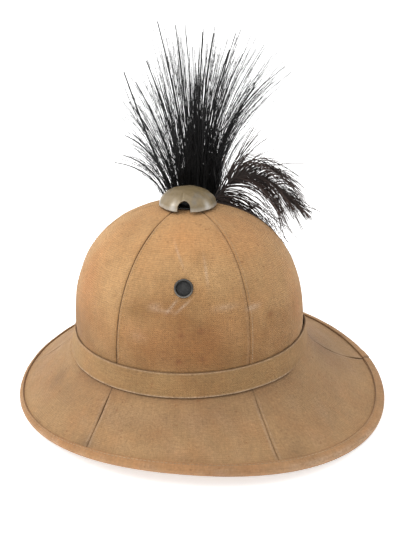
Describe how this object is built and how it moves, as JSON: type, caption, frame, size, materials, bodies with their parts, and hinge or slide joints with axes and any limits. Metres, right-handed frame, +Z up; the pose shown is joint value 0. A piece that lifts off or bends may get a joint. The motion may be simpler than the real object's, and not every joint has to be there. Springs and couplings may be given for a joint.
{
  "type": "pith helmet",
  "caption": "Cloth-covered pith helmet with a domed panelled crown, sloping bound brim, vent cap, side vent, upright hair plume and drooping feather.",
  "frame": {"origin": "on the floor under the middle of the rim's outline", "axes": "+X along the helmet's length towards the longer end of the brim, +Y across it towards the side with the plume, +Z up"},
  "size_m": [0.3538, 0.3054, 0.3186],
  "materials": {
    "canvas": "woven cotton, matte, stained",
    "band_cloth": "woven cotton, matte",
    "tape_cloth": "woven cotton tape, matte",
    "painted_steel": "worn satin paint",
    "gauze": "dull wire gauze",
    "black_hair": "glossy black hair",
    "brown_barbs": "dark brown feather barbs"
  },
  "bodies": {
    "root": {"crown_panel_1": "canvas", "crown_panel_2": "canvas", "crown_panel_3": "canvas", "crown_panel_4": "canvas", "crown_panel_5": "canvas", "crown_panel_6": "canvas", "brim_panel_1": "canvas", "brim_panel_2": "canvas", "brim_panel_3": "canvas", "brim_panel_4": "canvas", "brim_panel_5": "canvas", "brim_panel_6": "canvas", "brim_binding": "tape_cloth", "band": "band_cloth", "vent_cap": "painted_steel", "vent_collar": "painted_steel", "eyelet_ring": "painted_steel", "eyelet_gauze": "gauze", "plume": "black_hair", "feather": "brown_barbs"}
  },
  "joints": []
}
